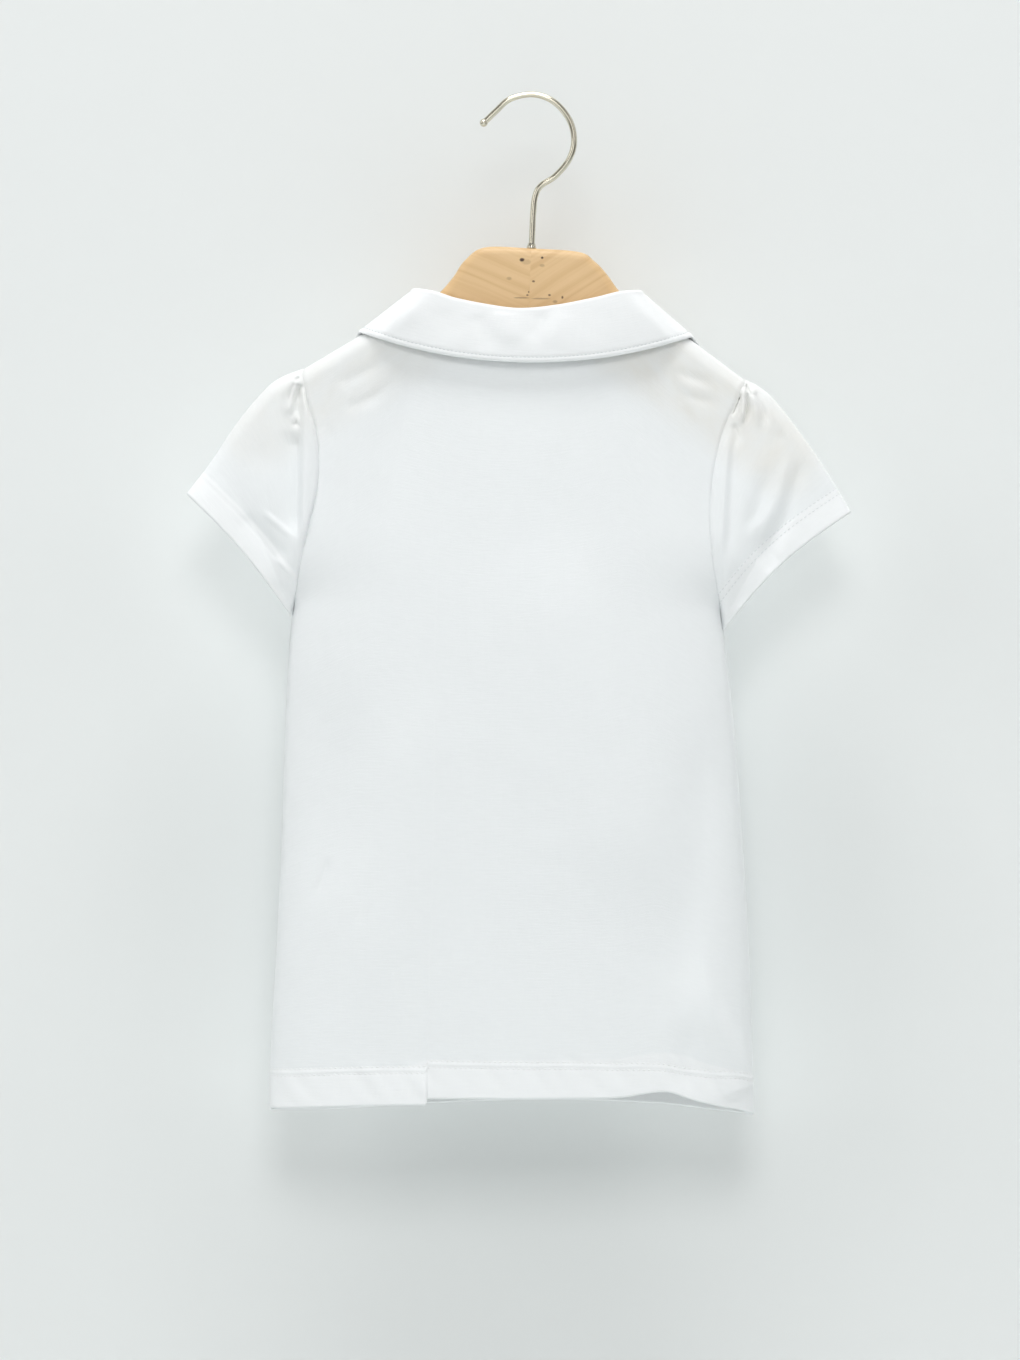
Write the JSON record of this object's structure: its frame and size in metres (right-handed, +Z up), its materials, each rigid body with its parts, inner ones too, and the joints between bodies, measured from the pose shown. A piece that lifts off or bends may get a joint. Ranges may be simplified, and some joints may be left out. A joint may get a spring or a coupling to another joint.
{
  "type": "peter pan collar t-shirt on a hanger",
  "caption": "Child's short-sleeved jersey t-shirt with a rounded flat collar and gathered sleeve heads, hung on a wooden hanger with a wire hook.",
  "frame": {"origin": "inside top of the hook, where a rail bears on it", "axes": "+Z up, +X to the right of someone who looks at the shirt's back, -Y towards that viewer; the shirt's back faces -Y and its front faces +Y"},
  "size_m": [0.3454, 0.059, 0.5318],
  "materials": {
    "jersey": "white cotton jersey knit, matt",
    "collar_jersey": "two layers of the same white jersey, topstitched near the edge",
    "hanger_wood": "pale wood under a thin satin lacquer",
    "hook_metal": "nickel-plated steel wire"
  },
  "bodies": {
    "root": {"back_panel": "jersey", "front_panel": "jersey", "sleeve_left": "jersey", "sleeve_right": "jersey", "collar": "collar_jersey", "hanger_arm_left": "hanger_wood", "hanger_arm_right": "hanger_wood", "hanger_hook": "hook_metal", "hook_ferrule": "hook_metal"}
  },
  "joints": []
}
